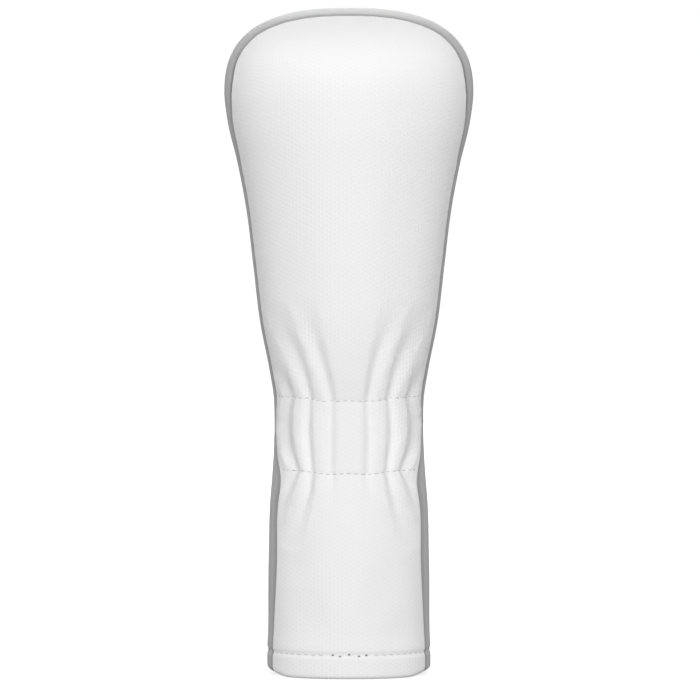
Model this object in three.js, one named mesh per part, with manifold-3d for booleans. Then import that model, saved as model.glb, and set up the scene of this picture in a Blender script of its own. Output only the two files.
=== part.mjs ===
// Driver head cover: a sewn, padded fabric sock for the head and upper shaft of a golf driver.
//
// Millimetres, +Z up. The cover stands on its hem at z = 0 with its crown up, its width along X
// and its front panel facing -Y. Front and back mirror each other, and so do left and right.
//
// Two keyhole-shaped panels, front and back, are sewn to one gusset strip that runs up one side,
// over the crown and down the other side. Inside are foam padding around the head, two elastic
// bands at the neck and a three-piece lining. Every layer is the space between two copies of
// one body surface, each copy set a given depth below the outer face.

import * as THREE from 'three';
import { LoftGeometry } from 'three/addons/geometries/LoftGeometry.js';
import { mergeVertices } from 'three/addons/utils/BufferGeometryUtils.js';
import Module from 'manifold-3d';

const wasm = await Module();
wasm.setup();

// ---- Driving dimensions -------------------------------------------------------------------

const HEIGHT = 350;
const SHOULDER_Z = 305; // widest level, where the crown's dome starts
const CROWN_ROUNDNESS = 2.6; // exponent of the dome's outline from the front; 2 is an ellipse
const CROWN_SIDE_ROUNDNESS = 2.0; // the same for the dome's outline from the side
const NECK_LOW_Z = 108.8; // lower edge of the elastic bands
const NECK_HIGH_Z = 147; // upper edge of the elastic bands
const PADDING_LOW_Z = 153; // the foam starts just above the elastic
const HEM_STITCH_Z = 12.6;

// Body sizes by height. halfWidth is along X and halfDepth along Y; squareness is the exponent
// of the horizontal section; seam is the distance along Y from the middle to each panel seam.
const BODY = [
  { z: 0, halfWidth: 43.0, halfDepth: 42.0, squareness: 2.3, seam: 18.5 },
  { z: 15, halfWidth: 43.0, halfDepth: 42.0, squareness: 2.3, seam: 18.5 },
  { z: 60, halfWidth: 41.8, halfDepth: 41.5, squareness: 2.2, seam: 19.9 },
  { z: 90, halfWidth: 41.0, halfDepth: 39.5, squareness: 2.15, seam: 18.0 },
  { z: 108, halfWidth: 39.6, halfDepth: 37.5, squareness: 2.15, seam: 17.6 },
  { z: 122, halfWidth: 38.9, halfDepth: 36.5, squareness: 2.1, seam: 8.9 },
  { z: 135, halfWidth: 38.8, halfDepth: 36.5, squareness: 2.1, seam: 7.5 },
  { z: 146, halfWidth: 39.1, halfDepth: 37.5, squareness: 2.1, seam: 10.2 },
  { z: 160, halfWidth: 41.3, halfDepth: 41.0, squareness: 2.1, seam: 11.2 },
  { z: 185, halfWidth: 46.2, halfDepth: 46.5, squareness: 2.1, seam: 12.2 },
  { z: 225, halfWidth: 51.0, halfDepth: 51.5, squareness: 2.15, seam: 13.2 },
  { z: 255, halfWidth: 55.1, halfDepth: 55.5, squareness: 2.15, seam: 14.6 },
  { z: 280, halfWidth: 60.6, halfDepth: 59.5, squareness: 2.15, seam: 17.2 },
  { z: 295, halfWidth: 64.1, halfDepth: 61.4, squareness: 2.2, seam: 21.4 },
  { z: SHOULDER_Z, halfWidth: 65.0, halfDepth: 62.0, squareness: 2.2, seam: 24.0 },
  { z: 320, halfWidth: 65.0, halfDepth: 62.0, squareness: 2.2, seam: 24.2 },
  { z: 335, halfWidth: 65.0, halfDepth: 62.0, squareness: 2.2, seam: 24.0 },
  { z: HEIGHT, halfWidth: 65.0, halfDepth: 62.0, squareness: 2.2, seam: 24.6 },
];

// Depths below the outer face at which each layer starts and ends.
const FABRIC = { from: 0, to: 1.2 };
const SEAM_THREAD = { from: 1.5, to: 2.1 };
const FOAM = { from: 1.6, to: 4.6 };
const ELASTIC = { from: 2.8, to: 4.2 };
const HEM_TURN = { from: 3.9, to: 5.1 }; // the hem's inner leg
const STITCH = { from: -0.9, to: -0.3 }; // threads lie just proud of the outer face
const LINING_THICKNESS = 1.2;
const LINING_DEPTH_SKIRT = 2.4;
const LINING_DEPTH_CROWN = 4.9;
const LINING_STEP = { from: 92, to: 104 }; // heights over which the lining moves inward

const HEM_TURN_HEIGHT = 15;
const HEM_EDGE_ROUND = 1.5;
const LINING_LOW_Z = 2;
const SEAM_GAP = 0.4; // between neighbouring panels of one layer
const FOAM_SEAM_MARGIN = 4;
const ELASTIC_SEAM_MARGIN = 2.5;
const STITCH_SEAM_MARGIN = 2;
const THREAD_WIDTH = 0.7;

const SECTION_SIDES = 28;
const WALL_LEVELS = [0, HEM_EDGE_ROUND, 15, 60, 90, 104, 118, 133, 146, 160, 185, 215, 245,
  270, 290, SHOULDER_Z];
const DOME_ANGLES = [18, 35, 50, 63, 74, 84]; // degrees up the dome
const PAST_END = 10; // how far cutting shapes run past what they cut
const FAR = 90; // beyond every side of the body

// ---- Body surface -------------------------------------------------------------------------

const DOME_RISE = HEIGHT - SHOULDER_Z;
const domePower = 2 / CROWN_ROUNDNESS;
const domeSidePower = 2 / CROWN_SIDE_ROUNDNESS;
const lastDomeAngle = THREE.MathUtils.degToRad(DOME_ANGLES.at(-1));
const flatTopLoss = Math.sin(lastDomeAngle) ** domePower; // the dome ends in a small flat

const bodyCurve = new THREE.CubicInterpolant(
  BODY.map((row) => row.z),
  BODY.flatMap((row) => [row.halfWidth, row.halfDepth, row.squareness, row.seam]),
  4,
);

function bodyAt(z) {
  const [halfWidth, halfDepth, squareness, seam] = bodyCurve.evaluate(
    THREE.MathUtils.clamp(z, 0, HEIGHT),
  );
  return { halfWidth, halfDepth, squareness, seam };
}

function signedPower(value, exponent) {
  return Math.sign(value) * Math.abs(value) ** exponent;
}

// One horizontal section, anticlockwise from above.
function section(z, halfWidth, halfDepth, squareness) {
  const points = [];
  for (let side = 0; side < SECTION_SIDES; side += 1) {
    const angle = (side / SECTION_SIDES) * 2 * Math.PI;
    const x = halfWidth * signedPower(Math.cos(angle), 2 / squareness);
    const y = halfDepth * signedPower(Math.sin(angle), 2 / squareness);
    points.push(new THREE.Vector3(x, y, z));
  }
  return points;
}

function wallSection(z, depth) {
  const size = bodyAt(z);
  return section(z, size.halfWidth - depth, size.halfDepth - depth, size.squareness);
}

function domeSection(degrees, depth) {
  const angle = THREE.MathUtils.degToRad(degrees);
  const shoulder = bodyAt(SHOULDER_Z);
  const rise = (DOME_RISE * Math.sin(angle) ** domePower) / flatTopLoss;
  return section(
    SHOULDER_Z + rise * (1 - depth / DOME_RISE),
    (shoulder.halfWidth - depth) * Math.cos(angle) ** domePower,
    (shoulder.halfDepth - depth) * Math.cos(angle) ** domeSidePower,
    shoulder.squareness,
  );
}

// A closed mesh as a solid that can be joined and cut.
function solid(geometry) {
  const faces = new THREE.BufferGeometry();
  faces.setAttribute('position', geometry.getAttribute('position'));
  faces.setIndex(geometry.getIndex());
  const merged = mergeVertices(faces);
  return new wasm.Manifold(new wasm.Mesh({
    numProp: 3,
    vertProperties: new Float32Array(merged.attributes.position.array),
    triVerts: new Uint32Array(merged.index.array),
  }));
}

// The whole body, set in by a depth that is a number or a function of height.
function body(depth, lowZ = -PAST_END) {
  const depthAt = typeof depth === 'function' ? depth : () => depth;
  const levels = [lowZ, ...WALL_LEVELS.filter((z) => z > lowZ)];
  const sections = levels.map((z) => wallSection(z, depthAt(z)));
  for (const degrees of DOME_ANGLES) {
    sections.push(domeSection(degrees, depthAt(HEIGHT)));
  }
  return solid(new LoftGeometry(sections, { capStart: true, capEnd: true }));
}

function layer({ from, to }) {
  return body(from).subtract(body(to));
}

function slab(lowZ, highZ) {
  const geometry = new THREE.BoxGeometry(2 * FAR, 2 * FAR, highZ - lowZ);
  geometry.translate(0, 0, (lowZ + highZ) / 2);
  return solid(geometry);
}

const aboveZ = (z) => slab(z, HEIGHT + PAST_END);

// ---- Seams --------------------------------------------------------------------------------

// Turns a shape drawn in (y, z) into a solid that runs right through the body along X.
function acrossWidth(outline) {
  const geometry = new THREE.ExtrudeGeometry(new THREE.Shape(outline), {
    depth: 2 * FAR,
    bevelEnabled: false,
  });
  geometry.translate(0, 0, -FAR);
  geometry.applyMatrix4(new THREE.Matrix4().makeBasis(
    new THREE.Vector3(0, 1, 0),
    new THREE.Vector3(0, 0, 1),
    new THREE.Vector3(1, 0, 0),
  ));
  return solid(geometry);
}

const SEAM_CROWN_LEVELS = [312, 320, 328, 336, 343];
const seamLevels = [-PAST_END, ...WALL_LEVELS, ...SEAM_CROWN_LEVELS, HEIGHT + PAST_END];

// Points up one seam, moved away from the middle by `outward`; side is -1 front, 1 back.
function seamLine(side, outward) {
  return seamLevels.map((z) => new THREE.Vector2(side * (bodyAt(z).seam + outward), z));
}

// Everything on the panel's side of a seam.
function panelSide(side, outward) {
  return acrossWidth([
    new THREE.Vector2(side * FAR, seamLevels[0]),
    ...seamLine(side, outward),
    new THREE.Vector2(side * FAR, seamLevels.at(-1)),
  ]);
}

// Everything between the two seams, trimmed back from each by `inward`.
function betweenSeams(inward) {
  return acrossWidth([...seamLine(-1, -inward), ...seamLine(1, -inward).reverse()]);
}

// ---- Layers -------------------------------------------------------------------------------

// Outer fabric, whose hem turns under and up inside. The channel holds the lining's edge.
function outerFabric() {
  const roundedEdge = (z) => Math.max(0, HEM_EDGE_ROUND - z);
  const hollow = body(FABRIC.to, FABRIC.to);
  const mouth = body(HEM_TURN.to);
  const turnedLeg = layer(HEM_TURN).intersect(slab(FABRIC.to / 2, HEM_TURN_HEIGHT));
  return body(roundedEdge, 0).subtract(hollow).subtract(mouth).add(turnedLeg);
}

function lining() {
  const { from, to } = LINING_STEP;
  const outerDepth = (z) => THREE.MathUtils.lerp(
    LINING_DEPTH_SKIRT,
    LINING_DEPTH_CROWN,
    THREE.MathUtils.smoothstep(z, from, to),
  );
  const innerDepth = (z) => outerDepth(z) + LINING_THICKNESS;
  return body(outerDepth).subtract(body(innerDepth)).intersect(aboveZ(LINING_LOW_Z));
}

function foam() {
  return layer(FOAM).intersect(aboveZ(PADDING_LOW_Z));
}

function elastic(side) {
  return layer(ELASTIC)
    .intersect(slab(NECK_LOW_Z, NECK_HIGH_Z))
    .intersect(panelSide(side, ELASTIC_SEAM_MARGIN));
}

function stitchRing(z) {
  return layer(STITCH).intersect(slab(z - THREAD_WIDTH / 2, z + THREAD_WIDTH / 2));
}

function elasticStitch(side, z) {
  return stitchRing(z).intersect(panelSide(side, STITCH_SEAM_MARGIN));
}

// The thread that closes a panel seam, just inside the gusset's edge.
function seamThread(side) {
  return layer(SEAM_THREAD)
    .intersect(panelSide(side, -THREAD_WIDTH))
    .subtract(panelSide(side, 0))
    .intersect(aboveZ(LINING_LOW_Z));
}

// ---- Materials ----------------------------------------------------------------------------

const fabricMaterial = (color) => new THREE.MeshStandardMaterial({ color, roughness: 0.85 });
const MATERIALS = {
  panel: fabricMaterial(0xf2f2f2),
  gusset: fabricMaterial(0xb4b4b4),
  lining: fabricMaterial(0x8c8d90),
  foam: fabricMaterial(0xd9d6cc),
  elastic: fabricMaterial(0xe6e6e6),
  thread: new THREE.MeshStandardMaterial({ color: 0xdcdcdc, roughness: 0.6 }),
};

// ---- Assembly -----------------------------------------------------------------------------

const cover = new THREE.Group();

function addPiece(name, shape, material) {
  const { vertProperties, triVerts } = shape.getMesh();
  const geometry = new THREE.BufferGeometry();
  geometry.setAttribute('position', new THREE.BufferAttribute(vertProperties, 3));
  geometry.setIndex(new THREE.BufferAttribute(triVerts, 1));
  geometry.computeVertexNormals();
  const mesh = new THREE.Mesh(geometry, material);
  mesh.name = name;
  cover.add(mesh);
}

const halfGap = SEAM_GAP / 2;
const outer = outerFabric();
const padding = foam();
const liner = lining();

addPiece('side_gusset', outer.intersect(betweenSeams(halfGap)), MATERIALS.gusset);
addPiece('gusset_foam', padding.intersect(betweenSeams(FOAM_SEAM_MARGIN)), MATERIALS.foam);
addPiece('gusset_lining', liner.intersect(betweenSeams(halfGap)), MATERIALS.lining);
addPiece('hem_stitch', stitchRing(HEM_STITCH_Z), MATERIALS.thread);

for (const [face, side] of [['front', -1], ['back', 1]]) {
  addPiece(`${face}_panel`, outer.intersect(panelSide(side, halfGap)), MATERIALS.panel);
  addPiece(`${face}_foam`, padding.intersect(panelSide(side, FOAM_SEAM_MARGIN)), MATERIALS.foam);
  addPiece(`${face}_lining`, liner.intersect(panelSide(side, halfGap)), MATERIALS.lining);
  addPiece(`${face}_elastic`, elastic(side), MATERIALS.elastic);
  addPiece(`${face}_seam_thread`, seamThread(side), MATERIALS.thread);
  addPiece(`${face}_upper_elastic_stitch`, elasticStitch(side, NECK_HIGH_Z), MATERIALS.thread);
  addPiece(`${face}_lower_elastic_stitch`, elasticStitch(side, NECK_LOW_Z), MATERIALS.thread);
}

export default cover;
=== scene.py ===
"""A driver head cover as it looks: sewn, gathered and padded fabric around the CAD frame.

Lengths are in millimetres until a mesh is made, which is in metres. The body is one smooth
surface. Every sheet of the cover is a grid of points on it, pushed in or out along the normal
by its folds, puckers, seams and stitches.
"""
import math

import bpy
import numpy as np
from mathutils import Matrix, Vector
from mathutils.kdtree import KDTree


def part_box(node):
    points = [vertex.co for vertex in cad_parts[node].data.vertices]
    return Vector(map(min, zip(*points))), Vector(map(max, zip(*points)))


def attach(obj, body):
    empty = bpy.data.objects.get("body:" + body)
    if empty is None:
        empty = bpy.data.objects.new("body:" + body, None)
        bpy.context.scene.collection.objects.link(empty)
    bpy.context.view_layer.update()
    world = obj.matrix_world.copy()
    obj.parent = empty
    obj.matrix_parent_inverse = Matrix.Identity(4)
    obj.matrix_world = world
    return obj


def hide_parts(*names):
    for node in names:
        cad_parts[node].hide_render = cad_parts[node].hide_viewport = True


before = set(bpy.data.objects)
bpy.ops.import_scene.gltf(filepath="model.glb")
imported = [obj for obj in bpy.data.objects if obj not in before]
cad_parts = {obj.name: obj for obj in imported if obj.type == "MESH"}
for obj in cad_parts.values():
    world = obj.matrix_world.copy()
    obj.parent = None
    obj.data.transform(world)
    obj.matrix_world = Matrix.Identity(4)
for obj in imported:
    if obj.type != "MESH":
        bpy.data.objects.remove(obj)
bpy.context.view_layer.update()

MM = 0.001
FRONT, BACK = -1, 1

# ---- Body, measured from the CAD nodes ------------------------------------------------------


def cad_points(node):
    """A CAD node's vertices, in millimetres."""
    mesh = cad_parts[node].data
    flat = np.empty(len(mesh.vertices) * 3)
    mesh.vertices.foreach_get("co", flat)
    return flat.reshape(-1, 3) / MM


CAD_SEAM_HALF_GAP = 0.2
HEM_TOP = 15.0             # below this level the wall is upright
CROWN_ROUNDNESS = 2.6      # exponent of the crown's outline from the front
CROWN_SIDE_ROUNDNESS = 2.0 # the same from the side
CROWN_POWER, CROWN_SIDE_POWER = 2 / CROWN_ROUNDNESS, 2 / CROWN_SIDE_ROUNDNESS
SQUARENESS = ((0, 2.3), (15, 2.3), (60, 2.2), (90, 2.15), (108, 2.15), (122, 2.1), (185, 2.1),
              (225, 2.15), (280, 2.15), (295, 2.2), (400, 2.2))


def smooth_curve(knots, values):
    """A cubic curve through the knots, as a function."""
    knots, values = np.asarray(knots, float), np.asarray(values, float)
    slopes = np.gradient(values, knots)

    def at(x):
        x = np.clip(x, knots[0], knots[-1])
        i = np.clip(np.searchsorted(knots, x, "right") - 1, 0, len(knots) - 2)
        width = knots[i + 1] - knots[i]
        t = (x - knots[i]) / width
        start = (1 + 2 * t) * (1 - t) ** 2 * values[i] + t * (1 - t) ** 2 * width * slopes[i]
        end = t * t * (3 - 2 * t) * values[i + 1] + t * t * (t - 1) * width * slopes[i + 1]
        return start + end

    return at


def measure_walls():
    """Half width, half depth and seam distance as curves of height, and the shoulder height."""
    gusset, panel = cad_points("side_gusset"), cad_points("front_panel")
    side_line = gusset[(np.abs(gusset[:, 1]) < 0.05) & (gusset[:, 2] > HEM_TOP - 0.5)]
    shoulder = side_line[side_line[:, 0].argmax(), 2]
    levels = [z for z in np.unique(side_line[:, 2].round(1)) if z <= shoulder + 0.1]
    rows = []
    for z in levels:
        ring = gusset[np.abs(gusset[:, 2] - z) < 0.1]
        front = panel[np.abs(panel[:, 2] - z) < 0.1]
        rows.append((ring[:, 0].max(), -front[:, 1].min(), ring[:, 1].max() + CAD_SEAM_HALF_GAP))
    rows = np.array([rows[0], *rows, rows[-1]])
    levels = [0, *levels, shoulder + HEM_TOP]
    return [smooth_curve(levels, column) for column in rows.T], float(shoulder)


(half_width, half_depth, wall_seam), SHOULDER = measure_walls()
squareness = smooth_curve(*zip(*SQUARENESS))
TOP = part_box("side_gusset")[1].z / MM
RISE = TOP - SHOULDER


def smoothstep(low, high, x):
    t = np.clip((x - low) / (high - low), 0, 1)
    return t * t * (3 - 2 * t)


def bell(x, width):
    return np.exp(-((x / width) ** 2))


def signed_power(x, power):
    return np.sign(x) * np.abs(x) ** power


def arc_table(points):
    """Distance along a polyline at each of its points."""
    steps = np.linalg.norm(np.diff(points, axis=0), axis=1)
    return np.concatenate([[0], np.cumsum(steps)])


# The crown's angle as a function of distance up its side, for even spacing.
_crown_angles = np.linspace(0, math.pi / 2, 2000)
_crown_arc = arc_table(np.column_stack([
    half_width(SHOULDER) * np.cos(_crown_angles) ** CROWN_POWER,
    RISE * np.sin(_crown_angles) ** CROWN_POWER,
]))
CROWN_LENGTH = _crown_arc[-1]


def crown_angle(level):
    return np.interp(level - SHOULDER, _crown_arc, _crown_angles)


# Each seam's distance from the middle over the crown: it runs straighter round the corners.
CROWN_SEAM = ((SHOULDER - 10, float(wall_seam(SHOULDER - 10))), (SHOULDER, float(wall_seam(SHOULDER))),
              (314, 25.8), (325, 23.6), (335, 23.4), (343, 24.4), (TOP, 24.4), (TOP + 1, 24.4))
crown_seam_distance = smooth_curve(*zip(*CROWN_SEAM))
SEAM_WAVES = ((25.0, 0.4, 0.6), (41.0, 0.3, 2.1))  # wavelength, size, phase


def seam_distance(z):
    """How far each seam is from the middle, along Y, at a height."""
    wavy = sum(size * np.sin(2 * math.pi * z / length + phase) for length, size, phase in SEAM_WAVES)
    wavy = wavy * smoothstep(SHOULDER - 90, SHOULDER - 20, z)
    return np.where(z < SHOULDER, wall_seam(z), crown_seam_distance(z)) + wavy


def body_point(angle, level, side):
    """Points on a panel's outer face. angle is 0 at the left, 90 degrees mid panel and 180
    degrees at the right. level is the height on the wall, then the distance up the crown."""
    z_wall = np.minimum(level, SHOULDER)
    corner = 2 / squareness(z_wall)
    up = crown_angle(level)
    width = half_width(z_wall) * np.cos(up) ** CROWN_POWER
    depth = half_depth(z_wall) * np.cos(up) ** CROWN_SIDE_POWER
    return np.stack([
        -width * signed_power(np.cos(angle), corner),
        side * depth * np.abs(np.sin(angle)) ** corner,
        z_wall + RISE * np.sin(up) ** CROWN_POWER,
    ], axis=-1)


def unit(v):
    return v / np.linalg.norm(v, axis=-1, keepdims=True)


def body_normal(angle, level, side):
    turn, climb = 1e-3, 0.1
    across = body_point(angle + turn, level, side) - body_point(angle - turn, level, side)
    up = body_point(angle, level + climb, side) - body_point(angle, level - climb, side)
    return unit(np.cross(across, up)) * -side


GUSSET_LENGTH = 2 * SHOULDER + 2 * CROWN_LENGTH


def gusset_point(path, y):
    """Points on the gusset. path runs up the left side, over the crown and down the right."""
    left = path < GUSSET_LENGTH / 2
    level = np.where(left, path, GUSSET_LENGTH - path)
    z_wall = np.clip(level, 0, SHOULDER)
    power = squareness(z_wall)
    share = np.abs(y) / half_depth(z_wall)
    height = (1 - share ** CROWN_SIDE_ROUNDNESS) * np.sin(crown_angle(level)) ** 2
    share = share / (1 - height) ** (1 / CROWN_SIDE_ROUNDNESS)
    reach = (1 - np.minimum(share, 1) ** power) ** (1 / power)
    outward = np.where(left, -1, 1)
    return np.stack([
        outward * half_width(z_wall) * reach * (1 - height) ** (1 / CROWN_ROUNDNESS),
        y + 0 * path,
        z_wall + RISE * height ** (1 / CROWN_ROUNDNESS),
    ], axis=-1)


def gusset_normal(path, y):
    step = 0.1
    along = gusset_point(path + step, y) - gusset_point(path - step, y)
    across = gusset_point(path, y + step) - gusset_point(path, y - step)
    return unit(np.cross(along, across))


# ---- Grids of points on the body --------------------------------------------------------------

SEAM_CORNER = math.radians(35)   # crown angle where the panel grid turns from side to top
EDGE_OFFSETS = np.array([0.2, 0.3, 0.45, 0.7, 1.05, 1.5, 2.1, 2.9])
FINE = 600                       # samples along a row while it is spaced out


def seam_angle(level):
    """The panel angle at which the left seam lies."""
    up = crown_angle(level)
    z = np.minimum(level, SHOULDER) + RISE * np.sin(up) ** CROWN_POWER
    z_wall = np.minimum(level, SHOULDER)
    ratio = seam_distance(z) / (half_depth(z_wall) * np.cos(up) ** CROWN_SIDE_POWER)
    return np.arcsin(np.clip(ratio, 0, 1) ** (squareness(z_wall) / 2))


def crown_seam():
    """Angle and level along the seam over the crown, evenly spaced from left to right."""
    corner_level = SHOULDER + np.interp(SEAM_CORNER, _crown_angles, _crown_arc)
    levels = np.linspace(corner_level, SHOULDER + CROWN_LENGTH, 4000)
    angles = seam_angle(levels)
    below_top = angles < math.pi / 2 - 1e-6
    levels, angles = levels[below_top], angles[below_top]
    levels = np.concatenate([levels, [levels[-1]], levels[::-1]])
    angles = np.concatenate([angles, [math.pi / 2], math.pi - angles[::-1]])
    arc = arc_table(body_point(angles, levels, FRONT))
    even = np.linspace(0, arc[-1], FINE)
    return np.interp(even, arc, angles), np.interp(even, arc, levels), corner_level


TOP_ANGLES, TOP_LEVELS, CORNER_LEVEL = crown_seam()
PANEL_HEIGHT = TOP_LEVELS.max()


def panel_row(v, low):
    """One row of the panel grid as fine samples; v is 0 at level low and 1 at the crown seam."""
    u = np.linspace(0, 1, FINE)
    low_left, corner_left = seam_angle(low), TOP_ANGLES[0]
    side_level = low + v * (CORNER_LEVEL - low)
    side_left = seam_angle(side_level)
    span = 1 - 2 * u
    angle = (math.pi / 2
             + (1 - v) * (low_left - math.pi / 2) * span
             + v * (TOP_ANGLES - math.pi / 2)
             + (side_left - math.pi / 2) * span
             - ((1 - v) * (low_left - math.pi / 2) + v * (corner_left - math.pi / 2)) * span)
    level = (1 - v) * low + v * TOP_LEVELS + side_level - (1 - v) * low - v * CORNER_LEVEL
    return angle, level


def column_places(length, columns, margin):
    """Distances along a row: close together near both seams and even in between."""
    if margin:
        return np.linspace(margin, length - margin, columns)
    inner = np.linspace(EDGE_OFFSETS[-1], length - EDGE_OFFSETS[-1], columns)[1:-1]
    return np.concatenate([EDGE_OFFSETS, inner, length - EDGE_OFFSETS[::-1]])


def panel_grid(side, row_fractions, columns, low=0.0, margin=0.0):
    """Angle and level of every point of a panel grid."""
    angles, levels = [], []
    for v in row_fractions:
        angle, level = panel_row(v, low)
        arc = arc_table(body_point(angle, level, side))
        places = column_places(arc[-1], columns, margin)
        angles.append(np.interp(places, arc, angle))
        levels.append(np.interp(places, arc, level))
    return np.array(angles), np.array(levels)


def seam_on_gusset(path):
    """The seam's distance from the middle at each place along the gusset."""
    y = np.full_like(path, CROWN_SEAM[-1][1])
    for _ in range(12):
        y = seam_distance(gusset_point(path, y)[..., 2])
    return y


def gusset_grid(paths, columns, margin=0.0):
    """Path and Y of every point of a gusset grid."""
    rows = []
    for path, reach in zip(paths, seam_on_gusset(paths)):
        fine = np.linspace(-reach, reach, FINE)
        arc = arc_table(gusset_point(np.full(FINE, path), fine))
        rows.append(np.interp(column_places(arc[-1], columns, margin), arc, fine))
    y = np.array(rows)
    return np.repeat(paths[:, None], y.shape[1], axis=1), y


class Seam:
    """The seam line of one panel: the distance to it, and how far along it the nearest point is."""

    def __init__(self, side):
        walls = np.linspace(0, CORNER_LEVEL, 1500)
        left = body_point(seam_angle(walls), walls, side)
        top = body_point(TOP_ANGLES, TOP_LEVELS, side)
        right = left[::-1] * (-1, 1, 1)
        self.line = np.concatenate([left, top[1:-1], right])
        self.arc = arc_table(self.line)
        self.tree = KDTree(len(self.line))
        for i, point in enumerate(self.line):
            self.tree.insert(point, i)
        self.tree.balance()

    def nearest(self, points):
        found = [self.tree.find(point)[1:] for point in points.reshape(-1, 3)]
        index, distance = np.array(found).T
        shape = points.shape[:-1]
        return distance.reshape(shape), self.arc[index.astype(int)].reshape(shape)


SEAMS = {FRONT: Seam(FRONT), BACK: Seam(BACK)}

# ---- Folds, stitches and seams ----------------------------------------------------------------

ROW_HIGH, ROW_LOW = 147.0, 108.8     # the two stitch rows of the elastic
HEM_ROW = 12.6
ROW_DIP = 1.5                        # each elastic row hangs this much lower mid panel
STITCH_PITCH, ELASTIC_PITCH, STITCH_LENGTH = 4.2, 3.8, 2.5

# Valleys of the gathers on the front panel. Each is a line of (x, height, depth, width).
VALLEYS_UP = (
    ((-9.4, 147, 1.5, 2.6), (-12.2, 158, 1.9, 3.2), (-15.8, 170, 1.9, 3.8), (-19.8, 183, 1.3, 4.8),
     (-24.5, 200, 0.0, 6.5)),
    ((-20.6, 147, 1.7, 2.5), (-23.6, 158, 2.2, 3.4), (-28.4, 171, 2.0, 4.2), (-33.6, 182, 1.1, 5.2),
     (-39.5, 197, 0.0, 6.5)),
    ((-31.0, 147, 1.5, 2.6), (-33.4, 154, 1.4, 3.2), (-37.2, 165, 0.0, 4.0)),
    ((10.4, 147, 1.5, 2.6), (12.8, 158, 1.9, 3.2), (15.6, 170, 1.9, 3.8), (19.6, 182, 1.3, 4.8),
     (24.5, 200, 0.0, 6.5)),
    ((21.6, 147, 1.7, 2.5), (24.4, 158, 2.2, 3.4), (29.0, 171, 2.0, 4.2), (34.0, 182, 1.1, 5.2),
     (39.5, 197, 0.0, 6.5)),
    ((32.6, 147, 1.5, 2.6), (34.8, 154, 1.4, 3.2), (38, 165, 0.0, 4.0)),
)
VALLEYS_NECK = (
    ((-31.4, 147, 1.4, 2.6), (-33.2, 134, 2.2, 3.8), (-32.4, 122, 2.2, 3.8), (-28.1, 109, 1.6, 2.6)),
    ((-21.2, 147, 1.6, 2.3), (-21.6, 127, 2.4, 3.0), (-20.0, 109, 1.7, 2.4)),
    ((-9.4, 147, 1.3, 2.4), (-9.9, 127, 1.5, 3.0), (-9.6, 109, 1.2, 2.4)),
    ((10.2, 147, 1.3, 2.4), (10.9, 127, 1.6, 3.0), (10.2, 109, 1.3, 2.4)),
    ((21.6, 147, 1.6, 2.3), (22.6, 127, 2.4, 3.0), (20.6, 109, 1.7, 2.4)),
    ((32.4, 147, 1.4, 2.6), (34.6, 134, 2.2, 3.8), (33.8, 122, 2.2, 3.8), (28.8, 109, 1.6, 2.6)),
)
VALLEYS_DOWN = (
    ((-28.1, 109, 1.6, 2.5), (-31.4, 101, 1.8, 3.2), (-35.0, 92, 1.0, 4.0), (-38, 82, 0.0, 5.0)),
    ((-20.0, 109, 1.7, 2.5), (-21.4, 98, 2.3, 3.2), (-24.6, 89, 2.0, 4.0), (-28.6, 78, 1.1, 5.2),
     (-32, 66, 0.0, 7.0)),
    ((-9.4, 109, 1.1, 2.4), (-9.2, 97, 0.4, 3.4), (-9.0, 88, 0.0, 4.4)),
    ((0.6, 109, 0.4, 2.6), (0.2, 98, 0.7, 3.8), (-0.8, 82, 0.0, 6.0)),
    ((10.0, 109, 1.1, 2.4), (10.4, 97, 0.4, 3.4), (10.8, 88, 0.0, 4.4)),
    ((20.6, 109, 1.7, 2.5), (22.9, 98, 2.3, 3.2), (26.0, 89, 2.0, 4.0), (30.0, 78, 1.1, 5.2),
     (33.4, 66, 0.0, 7.0)),
    ((28.8, 109, 1.6, 2.5), (32.4, 101, 1.8, 3.2), (35.8, 92, 1.0, 4.0), (38.6, 82, 0.0, 5.0)),
)
RIDGE_SHARE = 0.35                   # how far the cloth beside a valley stands proud of it
RIDGE_SPREAD = 2.2


def stroke(x, z, line):
    """A valley's depth at each point: the greatest of its pieces, by the distance to each."""
    depth = np.zeros_like(x)
    for (x0, z0, depth0, width0), (x1, z1, depth1, width1) in zip(line, line[1:]):
        length2 = (x1 - x0) ** 2 + (z1 - z0) ** 2
        t = np.clip(((x - x0) * (x1 - x0) + (z - z0) * (z1 - z0)) / length2, 0, 1)
        away = np.hypot(x - x0 - t * (x1 - x0), z - z0 - t * (z1 - z0))
        here = (depth0 + t * (depth1 - depth0)) * valley_shape(away, width0 + t * (width1 - width0))
        depth = np.where(np.abs(here) > np.abs(depth), here, depth)
    return depth


def valley_shape(away, width):
    """A valley with a raised roll of cloth along each side."""
    return bell(away, width) * (1 + RIDGE_SHARE) - RIDGE_SHARE * bell(away, width * RIDGE_SPREAD)


def row_dip(x):
    return ROW_DIP * (1 - smoothstep(9, 26, np.abs(x)) - 0.35 * bell(x, 7))


def row_height(x, row):
    """Height of an elastic's stitch row across the panel."""
    return row - row_dip(x)


def gathers(points, mirror):
    """Depth of the neck's gathers, positive inward."""
    x, z = points[..., 0] * mirror, points[..., 2]
    height = z + row_dip(x) * (bell(z - ROW_HIGH, 12) + bell(z - ROW_LOW, 12))
    above = sum(stroke(x, height, line) for line in VALLEYS_UP)
    between = sum(stroke(x, height, line) for line in VALLEYS_NECK)
    below = sum(stroke(x, height, line) for line in VALLEYS_DOWN)
    over_high, over_low = smoothstep(-1, 1, height - ROW_HIGH), smoothstep(-1, 1, height - ROW_LOW)
    return above * over_high + between * (over_low - over_high) + below * (1 - over_low)


PUFF_BETWEEN, PUFF_ABOVE, PUFF_BELOW = 1.1, 0.2, 0.4   # round the two elastic rows


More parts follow.
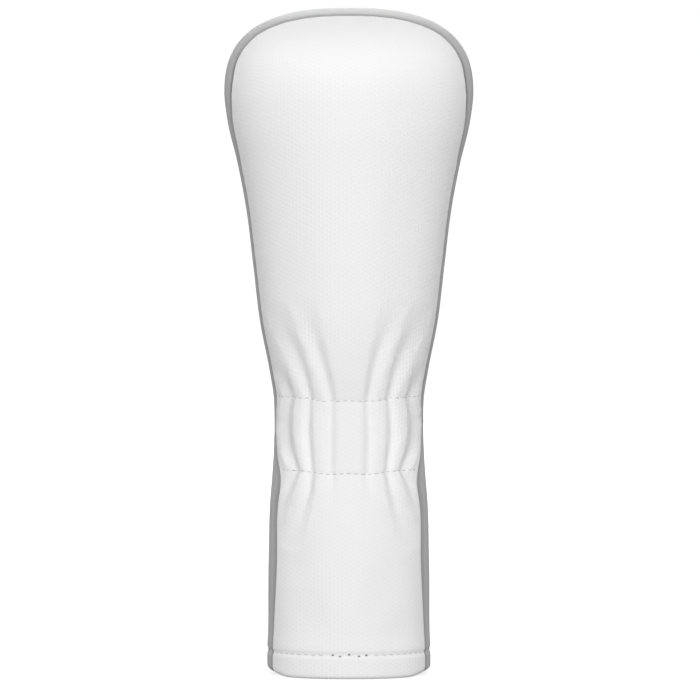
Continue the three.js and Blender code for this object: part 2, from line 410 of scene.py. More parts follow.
def pillow(points):
    """Cloth puffed out between the two elastic rows and just above and below them."""
    x, z = points[..., 0], points[..., 2]
    high, low = row_height(x, ROW_HIGH), row_height(x, ROW_LOW)
    between = np.clip((z - low) / (high - low), 0, 1)
    puff = PUFF_BETWEEN * np.sin(math.pi * between)
    puff = puff + PUFF_ABOVE * smoothstep(0, 10, z - high) * (1 - smoothstep(12, 40, z - high))
    return puff + PUFF_BELOW * smoothstep(0, 10, low - z) * (1 - smoothstep(8, 28, low - z))


ROW_GROOVE, ROW_GROOVE_WIDTH = 0.25, 1.0
HEM_GROOVE, HEM_GROOVE_WIDTH = 0.75, 1.3
ABOVE_HEM_HOLLOW = 0.35


def row_grooves(points):
    """Depth of the grooves that the elastic's stitch rows pull into a panel."""
    x, z = points[..., 0], points[..., 2]
    return sum(ROW_GROOVE * bell(z - row_height(x, row), ROW_GROOVE_WIDTH) for row in (ROW_HIGH, ROW_LOW))


def hem_groove(z):
    """Depth of the notch at the hem's stitches, and of the shallow hollow of cloth above it."""
    hollow = smoothstep(13, 24, z) * (1 - smoothstep(24, 60, z))
    return HEM_GROOVE * bell(z - HEM_ROW, HEM_GROOVE_WIDTH) + ABOVE_HEM_HOLLOW * hollow


PANEL_ROLL = {"radius": 0.8, "hollow": -0.3, "reach": 3.0}
GUSSET_ROLL = {"radius": 1.6, "hollow": 1.0, "reach": 2.2}
SHOULDER_CREASE = 311.0              # where the gusset is drawn in most beside the panel


def seam_roll(distance, z, radius, hollow, reach):
    """Depth of cloth near a seam: a tight turn in a wider, softer hollow."""
    t = np.clip(1 - distance / radius, 0, 1)
    hollow = hollow * (1 + bell(z - SHOULDER_CREASE, 10) - 0.6 * smoothstep(330, 345, z))
    return radius * (1 - np.sqrt(1 - t * t)) + hollow * np.exp(-distance / reach)


PUCKER_EVERYWHERE = 0.08
PUCKER_PLACES = ((318, 0.1, 30), (127, 0.12, 26), (12, 0.05, 8))        # height, extra size, width
PUCKER_WAVES = ((9.3, 1.0, 1.0), (6.1, 0.7, 1.7), (15.7, 0.6, 0.6))     # wavelength, size, phase share
PUCKER_REACH = 4.5


def seam_pucker(distance, along, z, phase):
    """Small waves that the seam's stitches pull into the cloth beside it."""
    strength = PUCKER_EVERYWHERE + sum(size * bell(z - at, width) for at, size, width in PUCKER_PLACES)
    wave = sum(size * np.sin(2 * math.pi * along / length + share * phase)
               for length, size, share in PUCKER_WAVES)
    return strength * wave * np.exp(-distance / PUCKER_REACH) * smoothstep(0, 1.5, distance)


# Each dent's x, height, depth, width and tallness.
DENTS = ((-19, 31, 1.0, 9, 13), (17, 44, 1.0, 9, 16), (26, 24, 0.8, 7, 9), (-27, 60, 0.8, 7, 15),
         (-5, 52, 0.6, 8, 15), (-30, 215, 0.7, 11, 24), (28, 232, 0.6, 11, 24),
         (6, 262, 0.4, 22, 20), (-22, 292, 0.4, 16, 14), (30, 300, 0.5, 14, 14))


def dents(points, mirror):
    """Broad shallow hollows of cloth over soft padding."""
    x, z = points[..., 0] * mirror, points[..., 2]
    return sum(depth * bell(x - x0, wide) * bell(z - z0, tall) for x0, z0, depth, wide, tall in DENTS)


PANEL_LOOK = {FRONT: {"mirror": 1, "phase": 0.4}, BACK: {"mirror": -1, "phase": 2.3}}


def panel_depth(points, side, nearest):
    """How far in from the body surface a panel's cloth lies."""
    distance, along = nearest
    look = PANEL_LOOK[side]
    z = points[..., 2]
    calm = smoothstep(0.5, 7, distance)
    folds = gathers(points, look["mirror"]) - pillow(points)
    return (folds * (0.25 + 0.75 * calm) + row_grooves(points) * smoothstep(0, 2, distance)
            + hem_groove(z) + dents(points, look["mirror"]) * calm
            - seam_pucker(distance, along, z, look["phase"]))


# ---- Meshes -----------------------------------------------------------------------------------


def grid_faces(rows, columns, flip):
    i, j = np.meshgrid(np.arange(rows - 1), np.arange(columns - 1), indexing="ij")
    corner = (i * columns + j).ravel()
    loop = (corner, corner + 1, corner + columns + 1, corner + columns)
    return np.column_stack(loop[::-1] if flip else loop)


def add_mesh(name, points, faces, material, uv=None):
    """Makes a smooth-shaded piece from points in millimetres; uv is one pair for each point."""
    mesh = bpy.data.meshes.new(name)
    mesh.from_pydata((points.reshape(-1, 3) * MM).tolist(), [], faces.tolist())
    mesh.shade_smooth()
    if uv is not None:
        layer = mesh.uv_layers.new(name="weave")
        layer.data.foreach_set("uv", uv.reshape(-1, 2)[faces.ravel()].ravel())
    mesh.materials.append(material)
    piece = bpy.data.objects.new(name, mesh)
    bpy.context.scene.collection.objects.link(piece)
    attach(piece, "root")
    return piece


def thicken(piece, thickness):
    """Gives a sheet its thickness, inward from its outer face, so that it is one closed body."""
    solidify = piece.modifiers.new("thickness", "SOLIDIFY")
    solidify.thickness = thickness * MM
    solidify.offset = -1
    return piece


def sheet(name, grid, flip, material, thickness):
    """Makes a closed piece of cloth from a grid of points on its outer face."""
    piece = add_mesh(name, grid, grid_faces(*grid.shape[:2], flip=flip), material, sheet_uv(grid))
    return thicken(piece, thickness)


FABRIC_THICKNESS = 0.9
HEM_RADIUS = 2.2
HEM_LEG_TOP = 14.0
HEM_PINCH = 1.3                      # the fold is drawn in by this much at each seam
FLANGE = (0.6, 1.2)                  # how far the turned-in edge runs below the roll


def hem_rows():
    """The hem's section from its inner leg, round the fold: (depth, height, pull direction)."""
    leg = [(2 * HEM_RADIUS, z, math.pi) for z in np.linspace(HEM_LEG_TOP, HEM_RADIUS, 9)[:-1]]
    fold = [(HEM_RADIUS * (1 - math.cos(turn)), HEM_RADIUS * (1 - math.sin(turn)), turn)
            for turn in np.linspace(math.pi, 0, 13)[:-1]]
    return leg + fold


HEM_LIFT = 2.4                       # how far the hem rises at the sides
HEM_LIFT_SPAN = (31, 43)             # X at which it starts to rise, and where it is highest
HEM_LIFT_TOP = 10.5                  # the height above which nothing is lifted


def lift_hem(points):
    """Draws the hem up where it passes round the sides."""
    x, z = np.abs(points[..., 0]), points[..., 2]
    lift = HEM_LIFT * smoothstep(*HEM_LIFT_SPAN, x) * (1 - smoothstep(1.5, HEM_LIFT_TOP, z))
    return points + lift[..., None] * (0, 0, 1)


def with_hem(outer, normal, distance):
    """Adds the hem's turned-under rows below a grid whose first row is at the fold."""
    first, out = outer[0], unit(normal[0] * (1, 1, 0))
    pinch = HEM_PINCH * np.clip(1 - distance[0] / HEM_PINCH, 0, 1)[:, None] ** 2
    rows = []
    for depth, height, turn in hem_rows():
        pull = (HEM_RADIUS - pinch) / HEM_RADIUS if turn < math.pi else 1 - pinch / (2 * HEM_RADIUS)
        base = first * (1, 1, 0) - out * (HEM_RADIUS + (depth - HEM_RADIUS) * pull)
        low = HEM_RADIUS + (height - HEM_RADIUS) * np.minimum(pull, 1)
        rows.append(base + (0, 0, 1) * (low if height < HEM_RADIUS else np.full_like(low, height)))
    return np.concatenate([np.array(rows), outer])


def flange_columns(grid, normal):
    """Adds turned-in columns outside the first and last columns of a grid."""
    left = [grid[:, :1] - normal[:, :1] * depth for depth in FLANGE[::-1]]
    right = [grid[:, -1:] - normal[:, -1:] * depth for depth in FLANGE]
    return np.concatenate([*left, grid, *right], axis=1)


def sheet_uv(points):
    """Distances along the cloth, in millimetres, up and across from the middle column."""
    across = np.cumsum(np.linalg.norm(np.diff(points, axis=1), axis=2), axis=1)
    across = np.concatenate([np.zeros((len(points), 1)), across], axis=1)
    across -= across[:, points.shape[1] // 2][:, None]
    middle = points[:, points.shape[1] // 2]
    up = np.repeat(arc_table(middle)[:, None], points.shape[1], axis=1)
    return np.stack([across, up], axis=-1)


def level_rows(low, high, spacing, fine_at=()):
    """Row heights, closer together around each height in fine_at."""
    rows, z = [low], low
    while z < high:
        near = min((abs(z - at) for at in fine_at), default=99)
        z += spacing * (0.35 + 0.65 * float(smoothstep(1.5, 6, near)))
        rows.append(min(z, high))
    return np.array(rows)


def panel_surface(side, angle, level):
    """The panel's outer face: its points, the body's normals there and the distance to the seam."""
    base, normal = body_point(angle, level, side), body_normal(angle, level, side)
    nearest = SEAMS[side].nearest(base)
    depth = panel_depth(base, side, nearest) + seam_roll(nearest[0], base[..., 2], **PANEL_ROLL)
    return base - normal * depth[..., None], normal, nearest[0]


PANEL_SPACING, PANEL_COLUMNS = 1.6, 108
GUSSET_SPACING, GUSSET_COLUMNS, GUSSET_CROWN_ROWS = 1.7, 40, 120
PANEL_LAYER_COLUMNS, GUSSET_LAYER_COLUMNS, GUSSET_LAYER_CROWN_ROWS = 64, 16, 70


def make_panel(name, side, material):
    rows = level_rows(HEM_RADIUS, PANEL_HEIGHT, PANEL_SPACING, (HEM_ROW, ROW_LOW, ROW_HIGH))
    fractions = (rows - HEM_RADIUS) / (PANEL_HEIGHT - HEM_RADIUS)
    top_edge = 1 - EDGE_OFFSETS[::-1] / (PANEL_HEIGHT - HEM_RADIUS)
    fractions = np.concatenate([fractions[fractions < top_edge[0] - 0.003], top_edge])
    places = panel_grid(side, fractions, PANEL_COLUMNS, low=HEM_RADIUS)
    outer, normal, distance = panel_surface(side, *places)
    outer[0, :, 2] = HEM_RADIUS
    top_flange = [outer[-1:] - normal[-1:] * step for step in FLANGE]
    grid = with_hem(outer, normal, distance)
    normals = np.concatenate([np.repeat(normal[:1], len(grid) - len(outer), axis=0), normal])
    grid = np.concatenate([grid, *top_flange])
    normals = np.concatenate([normals, normal[-1:], normal[-1:]])
    grid = lift_hem(flange_columns(grid, normals))
    return sheet(name, grid, side == BACK, material, FABRIC_THICKNESS)


def inner_depth(points, side, nearest, base_depth, share):
    """Depth of a layer under a panel, which follows the panel's folds by its own share."""
    calm = 1 - np.exp(-nearest[0] / 3)
    z = points[..., 2]
    return base_depth(z) + panel_depth(points, side, nearest) * calm * share(z)


def make_panel_layer(name, side, material, low, high, margin, depth, share, thickness, spacing=3.0):
    """A sheet under one panel, from height low to high, or to its crown seam if high is None.
    margin is its distance from the seam; depth and share are functions of height."""
    top = (high if high else PANEL_HEIGHT - margin) - low
    count = int(top / spacing) + 2
    fractions = np.linspace(0, top / (PANEL_HEIGHT - low), count)
    angle, level = panel_grid(side, fractions, PANEL_LAYER_COLUMNS, low=low, margin=margin)
    base, normal = body_point(angle, level, side), body_normal(angle, level, side)
    below = inner_depth(base, side, SEAMS[side].nearest(base), depth, share)
    return sheet(name, base - normal * below[..., None], side == BACK, material, thickness)


def make_gusset_layer(name, material, low, margin, depth, thickness, spacing=3.0):
    """A sheet under the gusset, up from height low, over the crown and down again."""
    up = np.arange(low, SHOULDER, spacing)
    over = np.linspace(SHOULDER, GUSSET_LENGTH - SHOULDER, GUSSET_LAYER_CROWN_ROWS)
    paths = np.concatenate([up, over, GUSSET_LENGTH - up[::-1]])
    path, y = gusset_grid(paths, GUSSET_LAYER_COLUMNS, margin=margin)
    base, normal = gusset_point(path, y), gusset_normal(path, y)
    return sheet(name, base - normal * depth(base[..., 2])[..., None], True, material, thickness)


GUSSET_FULLNESS = 0.5                # how far the gusset swells above the skirt
GUSSET_PUCKER = 0.6                  # its puckers, as a share of a panel's
GUSSET_PHASES = (1.1, 3.9)


def gusset_depth(points, *nearest):
    """How far in from the body surface the gusset lies, given the distance to each seam."""
    z = points[..., 2]
    depth = hem_groove(z) - GUSSET_FULLNESS * smoothstep(20, 60, z)
    for (distance, along), phase in zip(nearest, GUSSET_PHASES):
        pucker = GUSSET_PUCKER * seam_pucker(distance, along, z, phase)
        depth = depth + seam_roll(distance, z, **GUSSET_ROLL) - pucker
    return depth


def gusset_surface(path, y):
    """The gusset's outer face: its points, the body's normals there and the distance to a seam."""
    base, normal = gusset_point(path, y), gusset_normal(path, y)
    nearest = [SEAMS[side].nearest(base) for side in (FRONT, BACK)]
    outer = base - normal * gusset_depth(base, *nearest)[..., None]
    return outer, normal, np.minimum(nearest[0][0], nearest[1][0])


# Painted shade on the gusset beside the seams, in place of the creases' shadow: how much darker its
# colour is at a seam.
CREASE_SHADE, SHOULDER_SHADE, CROWN_SHADE = 0.3, 0.35, -0.1   # the last two add to the first
CREASE_SPAN = (1.8, 4.6)             # distances from the seam over which the shade fades


def painted_crease_shade(distance, z):
    """Painted shade on the gusset's cloth near a seam, in place of the crease's shadow: how light its
    colour is, where 1 is its full colour.
    """
    shade = (CREASE_SHADE + SHOULDER_SHADE * bell(z - SHOULDER_CREASE, 12)
             + CROWN_SHADE * smoothstep(325, 335, z))
    return 1 - shade * (1 - smoothstep(*CREASE_SPAN, distance))


def make_gusset(name, material):
    up = level_rows(HEM_RADIUS, SHOULDER, GUSSET_SPACING, (HEM_ROW,))
    over = np.linspace(SHOULDER, GUSSET_LENGTH - SHOULDER, GUSSET_CROWN_ROWS)[1:-1]
    path, y = gusset_grid(np.concatenate([up, over, GUSSET_LENGTH - up[::-1]]), GUSSET_COLUMNS)
    outer, normal, distance = gusset_surface(path, y)
    left = with_hem(outer, normal, distance)
    right = with_hem(outer[::-1], normal[::-1], distance[::-1])
    extra = len(left) - len(outer)
    grid = np.concatenate([left, right[:extra][::-1]])
    normals, near = (np.concatenate([np.repeat(rows[:1], extra, axis=0), rows,
                                     np.repeat(rows[-1:], extra, axis=0)]) for rows in (normal, distance))
    grid = lift_hem(flange_columns(grid, normals))
    piece = sheet(name, grid, True, material, FABRIC_THICKNESS)
    # Painted shade: each point stores how much the gusset's colour is darkened near a seam, in place of
    # the crease's shadow.
    near = np.pad(near, ((0, 0), (len(FLANGE), len(FLANGE))))
    shade = piece.data.attributes.new("painted_crease_shade", "FLOAT", "POINT")
    shade.data.foreach_set("value", painted_crease_shade(near, grid[..., 2]).ravel())
    return piece


# ---- Threads ----------------------------------------------------------------------------------

THREAD_SIDES = 8


class Thread:
    """Many short stitches as one mesh; each is a tube whose ends dip into the cloth."""

    def __init__(self):
        self.points, self.faces = [], []

    def stitch(self, middle, along, out, length, radius, lift, dip):
        """A stitch centred at middle; lift is its height above the cloth and dip how far its
        ends go below it."""
        places = np.array([-0.5, -0.42, -0.2, 0.0, 0.2, 0.42, 0.5]) * length
        heights = np.array([-dip, lift - 0.5 * radius, lift, lift, lift, lift - 0.5 * radius, -dip])
        sizes = np.array([0.5, 0.85, 1, 1, 1, 0.85, 0.5]) * radius
        across = np.cross(along, out)
        turn = np.linspace(0, 2 * math.pi, THREAD_SIDES, endpoint=False)
        centres = middle + np.outer(places, along) + np.outer(heights, out)
        ring = np.cos(turn)[:, None] * across + np.sin(turn)[:, None] * out
        tube = centres[:, None] + sizes[:, None, None] * ring[None]
        start = sum(len(block) for block in self.points)
        self.points.append(tube.reshape(-1, 3))
        for i in range(len(places) - 1):
            for j in range(THREAD_SIDES):
                k = (j + 1) % THREAD_SIDES
                a, b = start + i * THREAD_SIDES, start + (i + 1) * THREAD_SIDES
                self.faces.append((a + j, b + j, b + k, a + k))
        last = start + (len(places) - 1) * THREAD_SIDES
        self.faces.append(tuple(start + j for j in range(THREAD_SIDES)))
        self.faces.append(tuple(last + j for j in reversed(range(THREAD_SIDES))))

    def follow(self, line, normals, pitch, length, radius, lift=0.1, dip=0.5, sink=0.0):
        """Evenly spaced stitches along a line of points."""
        arc = arc_table(line)
        count = int((arc[-1] - 0.6 * pitch) / pitch)
        first = (arc[-1] - (count - 1) * pitch) / 2
        for place in first + pitch * np.arange(count):
            at, ahead = (np.array([np.interp(p, arc, axis) for axis in line.T])
                         for p in (place, place + 0.3))
            out = np.array([np.interp(place, arc, axis) for axis in normals.T])
            along = unit(ahead - at)
            out = unit(out - along * np.dot(out, along))
            self.stitch(at - out * sink, along, out, length, radius, lift, dip)

    def piece(self, name, material):
        mesh = bpy.data.meshes.new(name)
        mesh.from_pydata((np.concatenate(self.points) * MM).tolist(), [], self.faces)
        mesh.shade_smooth()
        mesh.materials.append(material)
        thread = bpy.data.objects.new(name, mesh)
        bpy.context.scene.collection.objects.link(thread)
        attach(thread, "root")
        return thread


STITCH_RADIUS = 0.23
LINE_MARGIN = 0.03                   # angle left free beside each seam


def panel_line(side, row, dips):
    """Points and normals across a panel at one stitch row."""
    seam = seam_angle(np.float64(row))
    angle = np.linspace(seam + LINE_MARGIN, math.pi - seam - LINE_MARGIN, 900)
    x = body_point(angle, np.full_like(angle, row), side)[:, 0]
    level = row_height(x, row) if dips else np.full_like(angle, row)
    points, normal, _ = panel_surface(side, angle, level)
    return points, normal


def elastic_thread(side, row, name, material):
    thread = Thread()
    thread.follow(*panel_line(side, row, True), ELASTIC_PITCH, STITCH_LENGTH, STITCH_RADIUS)
    return thread.piece(name, material)


GUSSET_ROW_MARGIN = 1.2              # between a seam and the hem row's end on the gusset


def hem_thread(name, material):
    """The hem's stitches all round: across both panels and both ends of the gusset."""
    thread = Thread()
    stitch = {"pitch": STITCH_PITCH, "length": STITCH_LENGTH, "radius": STITCH_RADIUS}
    thread.follow(*panel_line(BACK, HEM_ROW, False), **stitch)
    points, normal = panel_line(FRONT, HEM_ROW, False)
    for half in (points[:, 0] < -TACKS_REACH, points[:, 0] > TACKS_REACH):
        thread.follow(points[half], normal[half], **stitch)
    for place in (HEM_ROW, GUSSET_LENGTH - HEM_ROW):
        reach = seam_on_gusset(np.array([place]))[0] - GUSSET_ROW_MARGIN
        y = np.linspace(-reach, reach, 300)
        points, normal, _ = gusset_surface(np.full_like(y, place), y)
        thread.follow(points, normal, **stitch)
    return thread.piece(name, material)


# X of each short bar tack at the middle of the hem, and its height above the stitch row.
TACKS = ((-8.4, 0.1), (-4.6, -0.6), (0.1, 0.4), (5.2, -0.5), (9.1, 0.0))
TACKS_REACH = 11.0                   # no plain stitches this near the middle of the front
TACK_STITCH = {"length": 1.5, "radius": 0.24, "lift": 0.2, "dip": 0.5}
TACK_SHIFT = 0.2                     # each tack is two threads, this far above and below its middle


def hem_tacks(name, material):
    thread = Thread()
    points, normal = panel_line(FRONT, HEM_ROW, False)
    for x, rise in TACKS:
        i = int(np.abs(points[:, 0] - x).argmin())
        along = unit(points[i + 1] - points[i])
        for shift in (-TACK_SHIFT, TACK_SHIFT):
            thread.stitch(points[i] + (0, 0, rise + shift), along, normal[i], **TACK_STITCH)
    return thread.piece(name, material)


SEAM_STITCH = {"pitch": 3.4, "length": 2.6, "radius": 0.15, "lift": 0.05, "dip": 0.1, "sink": 1.75}


def seam_thread(side, name, material):
    """Stitches in the seam, between the turned-in edges of the panel and the gusset."""
    line = SEAMS[side].line[::4]
    line = line[line[:, 2] > HEM_LEG_TOP]
    walls = line[:, 2:] < SHOULDER
    outward = unit((line - (0, 0, SHOULDER)) * np.where(walls, (1, 1, 0), (1, 1, 1)))
    thread = Thread()
    thread.follow(line, outward, **SEAM_STITCH)
    return thread.piece(name, material)


# ---- Materials --------------------------------------------------------------------------------


class Nodes:
    """A material whose nodes are made and linked by short calls."""

    def __init__(self, name):
        self.material = bpy.data.materials.new(name)
        self.material.use_nodes = True
        self.tree = self.material.node_tree
        self.shader = self.tree.nodes["Principled BSDF"]

    def add(self, kind, inputs=(), **settings):
        node = self.tree.nodes.new(kind)
        for key, value in settings.items():
            setattr(node, key, value)
        for key, value in dict(inputs).items():
            self.set(node.inputs[key], value)
        return node

    def set(self, socket, value):
        if isinstance(value, bpy.types.NodeSocket):
            self.tree.links.new(value, socket)
        else:
            socket.default_value = value

    def math(self, operation, first, second=0.0):
        return self.add("ShaderNodeMath", {0: first, 1: second}, operation=operation).outputs[0]

    def blend(self, factor, first, second):
        mix = self.add("ShaderNodeMix", {"Factor": factor}, data_type="RGBA")
        self.set(mix.inputs["A"], first)
        self.set(mix.inputs["B"], second)
        return mix.outputs["Result"]

    def bump(self, height, distance, strength=1.0, under=None):
        inputs = {"Height": height, "Distance": distance * MM, "Strength": strength}
        if under is not None:
            inputs["Normal"] = under
        return self.add("ShaderNodeBump", inputs).outputs[0]

    def finish(self, **sockets):
        for name, value in sockets.items():
            self.set(self.shader.inputs[name.replace("_", " ")], value)
        return self.material


def grey(value, warmth=0.0):
    return (value + warmth, value, value - warmth, 1.0)


def weave_uv(nodes):
    place = nodes.add("ShaderNodeUVMap", uv_map="weave").outputs[0]
    split = nodes.add("ShaderNodeSeparateXYZ", {0: place})
    return split.outputs[0], split.outputs[1]


DIMPLE_COLUMN, DIMPLE_PITCH = 2.12, 2.45   # between columns, and along each column


def panel_fabric():
    """White knit embossed with staggered dimples, on faint upright ribs, with painted shade in the
    dimples.
    """
    nodes = Nodes("panel_fabric")
    u, v = weave_uv(nodes)
    across = nodes.math("COSINE", nodes.math("MULTIPLY", u, math.pi / DIMPLE_COLUMN))
    along = nodes.math("COSINE", nodes.math("MULTIPLY", v, 2 * math.pi / DIMPLE_PITCH))
    lattice = nodes.math("MULTIPLY", across, along)
    dimple = nodes.math("POWER", nodes.math("MAXIMUM", lattice, 0.0), 1.4)
    rib = nodes.math("MULTIPLY", nodes.math("MULTIPLY", across, across), 0.35)
    relief = nodes.math("SUBTRACT", 1.0, nodes.math("ADD", nodes.math("MULTIPLY", dimple, 0.75), rib))
    fibre = nodes.add("ShaderNodeTexNoise", {"Scale": 2600.0, "Detail": 3.0}).outputs[0]
    patch = nodes.add("ShaderNodeTexNoise", {"Scale": 60.0, "Detail": 2.0}).outputs[0]
    fine = nodes.bump(fibre, 0.05, 0.5)
    surface = nodes.bump(relief, 0.13, 0.8, under=fine)
    # Painted shade: the dimples' hollows are coloured darker, in place of their shadow.
    shade = nodes.blend(nodes.math("MULTIPLY", dimple, 0.25), grey(0.89), grey(0.80))
    colour = nodes.blend(nodes.math("MULTIPLY", patch, 0.08), shade, grey(0.80, 0.004))
    return nodes.finish(Base_Color=colour, Roughness=0.85, Specular_IOR_Level=0.2, Normal=surface)


GUSSET_RIB = 0.8                     # spacing of the gusset cloth's fine slanted ribs


def gusset_fabric():
    """Smooth grey cloth with a very fine rib, with painted shade in the creases beside the seams."""
    nodes = Nodes("gusset_fabric")
    u, v = weave_uv(nodes)
    turn = 2 * math.pi / GUSSET_RIB
    rib, cross = (nodes.math("COSINE", nodes.math("MULTIPLY", nodes.math(slant, u, v), turn))
                  for slant in ("ADD", "SUBTRACT"))
    weave = nodes.math("MULTIPLY", rib, cross)
    patch = nodes.add("ShaderNodeTexNoise", {"Scale": 90.0, "Detail": 3.0}).outputs[0]
    surface = nodes.bump(weave, 0.05, 0.6)
    woven = nodes.blend(nodes.math("MULTIPLY", weave, 0.3), grey(0.47), grey(0.42))
    worn = nodes.blend(nodes.math("MULTIPLY", patch, 0.15), woven, grey(0.38))
    # Painted shade: the colour goes towards black near the seams, in place of the creases' shadow.
    light = nodes.add("ShaderNodeAttribute", attribute_name="painted_crease_shade").outputs["Fac"]
    colour = nodes.blend(light, grey(0.0), worn)
    return nodes.finish(Base_Color=colour, Roughness=0.6, Normal=surface, Sheen_Weight=0.2,
                        Sheen_Roughness=0.4)


def fleece_lining():
    """Brushed grey fleece: soft tufts in a dense, matt pile."""
    nodes = Nodes("lining_fleece")
    tufts = nodes.add("ShaderNodeTexVoronoi", {"Scale": 700.0}, feature="SMOOTH_F1").outputs["Distance"]
    cloud = nodes.add("ShaderNodeTexNoise", {"Scale": 220.0, "Detail": 6.0}).outputs[0]
    patch = nodes.add("ShaderNodeTexNoise", {"Scale": 40.0, "Detail": 2.0}).outputs[0]
    fine = nodes.bump(tufts, 0.4, 0.6)
    surface = nodes.bump(cloud, 0.6, 0.7, under=fine)
    # Darker where the pile's bump is low: partly random tone, partly painted shade in its hollows.
    shade = nodes.blend(cloud, grey(0.07), grey(0.15))
    colour = nodes.blend(nodes.math("MULTIPLY", patch, 0.3), shade, grey(0.10))
    return nodes.finish(Base_Color=colour, Roughness=0.95, Normal=surface, Sheen_Weight=0.5,
                        Sheen_Roughness=0.6)


def open_foam():
    """Cream foam with open cells."""
    nodes = Nodes("padding_foam")
    cells = nodes.add("ShaderNodeTexVoronoi", {"Scale": 1400.0}).outputs["Distance"]
    stain = nodes.add("ShaderNodeTexNoise", {"Scale": 50.0, "Detail": 3.0}).outputs[0]
    surface = nodes.bump(cells, 0.3, 0.7)
    # Painted shade: the pits of the open cells are coloured darker than their walls.
    shade = nodes.blend(cells, (0.42, 0.38, 0.30, 1), (0.66, 0.62, 0.52, 1))
    colour = nodes.blend(nodes.math("MULTIPLY", stain, 0.3), shade, (0.6, 0.52, 0.38, 1))
    return nodes.finish(Base_Color=colour, Roughness=0.95, Normal=surface)


def ribbed_elastic():
    """White elastic webbing with ribs along its length and fine knit across them."""
    nodes = Nodes("elastic_webbing")
    u, v = weave_uv(nodes)
    ribs = nodes.math("ABSOLUTE", nodes.math("SINE", nodes.math("MULTIPLY", v, math.pi / 1.6)))
    knit = nodes.math("SINE", nodes.math("MULTIPLY", u, 2 * math.pi / 0.7))
    fine = nodes.bump(knit, 0.05, 0.5)
    surface = nodes.bump(ribs, 0.3, 0.8, under=fine)
    # Painted shade: the grooves between the ribs are coloured darker, the ribs' crests lighter.
    colour = nodes.blend(ribs, grey(0.55), grey(0.76))
    return nodes.finish(Base_Color=colour, Roughness=0.75, Normal=surface)


def spun_thread(name, low, high):
    """Polyester sewing thread, two tones along its twist: painted shade in its grooves, lighter on its
    crests.
    """
    nodes = Nodes(name)
    twist = nodes.add("ShaderNodeTexWave", {"Scale": 900.0, "Distortion": 1.0},
                      bands_direction="DIAGONAL").outputs["Fac"]
    surface = nodes.bump(twist, 0.05, 0.6)
    # Painted shade: the twist's grooves are coloured darker than its crests.
    colour = nodes.blend(twist, grey(low), grey(high))
    return nodes.finish(Base_Color=colour, Roughness=0.5, Normal=surface, Sheen_Weight=0.2,
                        Sheen_Roughness=0.3)


# ---- Pieces -----------------------------------------------------------------------------------

FACES = ((FRONT, "front"), (BACK, "back"))


def stands_for(piece, node):
    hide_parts(node)


LINING_DEPTH, LINING_STEP = 2.0, 3.3     # under the fabric, and how much deeper above the skirt
FOAM_DEPTH, ELASTIC_DEPTH = 1.5, 3.0
FOAM_THICKNESS, ELASTIC_THICKNESS, LINING_THICKNESS = 2.9, 1.1, 1.1
FOAM_MARGIN, ELASTIC_MARGIN, LINING_MARGIN = 4.2, 2.7, 1.6               # from the seams
FOAM_LOW, ELASTIC_LOW, ELASTIC_HIGH = 153, 108, 147.8
LINING_LOW, GUSSET_LINING_LOW = 5, 7
ELASTIC_SPACING, LINING_SPACING = 1.5, 2.0


def lining_depth(z):
    """The lining lies against the fabric in the skirt and under the elastic and foam above."""
    return LINING_DEPTH + LINING_STEP * smoothstep(76, 96, z)


def gusset_lining_depth(z):
    """The gusset's lining, which is a little deeper inside the hem."""
    return lining_depth(z) + 0.2 * (1 - smoothstep(16, 30, z))


def lining_share(z):
    """The lining follows all of the folds above the neck, but only part of them below."""
    return 0.35 + 0.65 * smoothstep(140, 156, z)


def everywhere(value):
    """A function of height that has one value."""
    return lambda z: np.full_like(z, value)


fabric, trim = panel_fabric(), gusset_fabric()
fleece, foam, webbing = fleece_lining(), open_foam(), ribbed_elastic()
grey_thread = spun_thread("sewing_thread", 0.54, 0.7)
dark_thread = spun_thread("tack_thread", 0.26, 0.36)

for side, face in FACES:
    stands_for(make_panel(f"{face}_cover_panel", side, fabric), f"{face}_panel")
    pad = make_panel_layer(f"{face}_padding", side, foam, FOAM_LOW, None, FOAM_MARGIN,
                           everywhere(FOAM_DEPTH), everywhere(1.0), FOAM_THICKNESS)
    stands_for(pad, f"{face}_foam")
    lining = make_panel_layer(f"{face}_fleece_lining", side, fleece, LINING_LOW, None, LINING_MARGIN,
                              lining_depth, lining_share, LINING_THICKNESS, LINING_SPACING)
    stands_for(lining, f"{face}_lining")
    band = make_panel_layer(f"{face}_elastic_band", side, webbing, ELASTIC_LOW, ELASTIC_HIGH,
                            ELASTIC_MARGIN, everywhere(ELASTIC_DEPTH), everywhere(0.0),
                            ELASTIC_THICKNESS, ELASTIC_SPACING)
    stands_for(band, f"{face}_elastic")
    stands_for(elastic_thread(side, ROW_HIGH, f"{face}_upper_stitches", grey_thread),
               f"{face}_upper_elastic_stitch")
    stands_for(elastic_thread(side, ROW_LOW, f"{face}_lower_stitches", grey_thread),
               f"{face}_lower_elastic_stitch")
    stands_for(seam_thread(side, f"{face}_seam_stitches", grey_thread),
               f"{face}_seam_thread")

stands_for(make_gusset("gusset_strip", trim), "side_gusset")
gusset_pad = make_gusset_layer("gusset_padding", foam, FOAM_LOW, FOAM_MARGIN, everywhere(FOAM_DEPTH),
                               FOAM_THICKNESS)
stands_for(gusset_pad, "gusset_foam")
gusset_lining = make_gusset_layer("gusset_fleece_lining", fleece, GUSSET_LINING_LOW, LINING_MARGIN,
                                  gusset_lining_depth, LINING_THICKNESS, LINING_SPACING)
stands_for(gusset_lining, "gusset_lining")
stands_for(hem_thread("hem_stitches", grey_thread), "hem_stitch")
hem_tacks("hem_bar_tacks", dark_thread)

# ---- Stage, light and camera ------------------------------------------------------------------

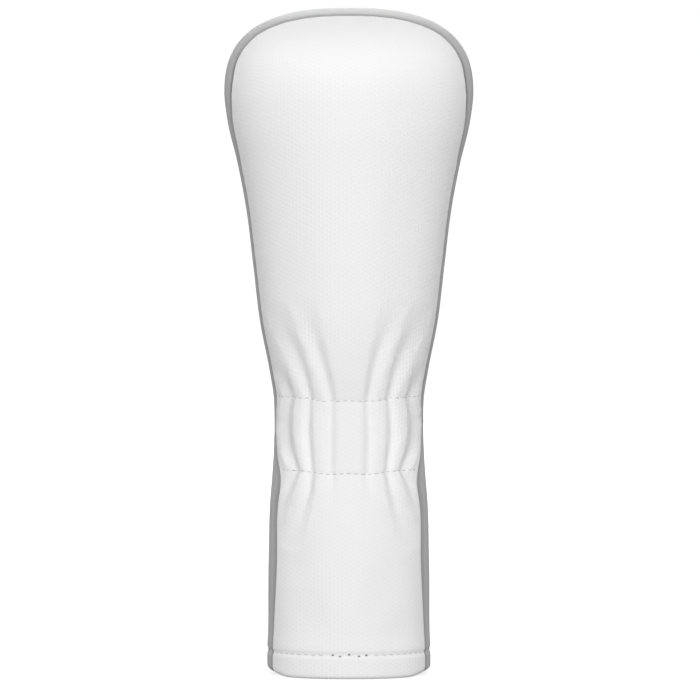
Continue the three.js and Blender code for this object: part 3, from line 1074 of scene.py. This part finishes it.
CAMERA_ELEVATION = 3.5
LENS = 600.0
FRAME_HEIGHT = 368.6 * MM
AIM_HEIGHT = 170.4 * MM
AIM_SIDE = 0.6 * MM
LIGHTS_AIM = 0.18                    # in metres above the floor; the places below are in metres too
STAGE_RADIUS = 9
WORLD_LIGHT = 0.27
# Each softbox's name, place, width, height and power.
SOFTBOXES = (
    ("key", (0, -1.9, 0.3), 0.4, 1.5, 38),
    ("overhead", (0, 0, 1.7), 1.0, 1.0, 6),
    ("rim_-1", (-1.6, 0.5, 0.5), 0.5, 1.5, 8),
    ("rim_1", (1.6, 0.5, 0.5), 0.5, 1.5, 8),
    ("fill_back", (0, 1.8, 1.1), 0.8, 1.5, 18),
)


def aim(thing, target):
    thing.rotation_mode = "QUATERNION"
    thing.rotation_quaternion = (target - thing.location).to_track_quat("-Z", "Y")


def add_camera():
    data = bpy.data.cameras.new("camera")
    data.lens = LENS
    camera = bpy.data.objects.new("camera", data)
    bpy.context.scene.collection.objects.link(camera)
    distance = FRAME_HEIGHT / 2 / (data.sensor_width / 2 / LENS)
    rise = math.radians(CAMERA_ELEVATION)
    target = Vector((AIM_SIDE, 0, AIM_HEIGHT))
    camera.location = target + Vector((0, -math.cos(rise), math.sin(rise))) * distance
    aim(camera, target)
    data.clip_start, data.clip_end = 0.1, 50
    bpy.context.scene.camera = camera


def add_softbox(name, place, width, height, power):
    data = bpy.data.lights.new(name, "AREA")
    data.shape, data.size, data.size_y, data.energy = "RECTANGLE", width, height, power
    light = bpy.data.objects.new(name, data)
    light.visible_camera = False
    bpy.context.scene.collection.objects.link(light)
    light.location = place
    aim(light, Vector((0, 0, LIGHTS_AIM)))


def add_stage():
    """A pale floor, and a white surround that only the camera sees."""
    nodes = Nodes("pale_floor")
    tone = nodes.add("ShaderNodeTexNoise", {"Scale": 3.0}).outputs[0]
    colour = nodes.blend(nodes.math("MULTIPLY", tone, 0.05), grey(0.3), grey(0.28))
    place = nodes.add("ShaderNodeNewGeometry").outputs["Position"]
    away = nodes.add("ShaderNodeVectorMath", {0: place}, operation="LENGTH").outputs["Value"]
    glow = nodes.add("ShaderNodeMapRange", {"Value": away, "From Min": 0.2, "From Max": 2.5,
                                            "To Min": 0.8, "To Max": 0.95}).outputs[0]
    nodes.finish(Base_Color=colour, Roughness=0.9, Emission_Color=grey(1.0), Emission_Strength=glow)
    bpy.ops.mesh.primitive_circle_add(radius=STAGE_RADIUS, vertices=96, fill_type="NGON")
    floor = bpy.context.object
    floor.name = "floor"
    floor.data.materials.append(nodes.material)
    bpy.ops.mesh.primitive_uv_sphere_add(radius=STAGE_RADIUS, segments=48, ring_count=24)
    surround = bpy.context.object
    surround.name = "surround"
    white = Nodes("white_surround")
    surround.data.materials.append(white.finish(Base_Color=grey(0.0), Emission_Color=grey(1.0),
                                                Emission_Strength=1.0))
    surround.visible_diffuse = surround.visible_glossy = False
    surround.visible_transmission = surround.visible_shadow = False
    floor.visible_diffuse = floor.visible_glossy = False


def add_world(strength):
    world = bpy.data.worlds.new("studio")
    world.use_nodes = True
    background = world.node_tree.nodes["Background"]
    background.inputs["Color"].default_value = (1, 1, 1, 1)
    background.inputs["Strength"].default_value = strength
    bpy.context.scene.world = world


add_stage()
add_world(WORLD_LIGHT)
for softbox in SOFTBOXES:
    add_softbox(*softbox)
add_camera()
bpy.context.scene.view_settings.view_transform = "Standard"
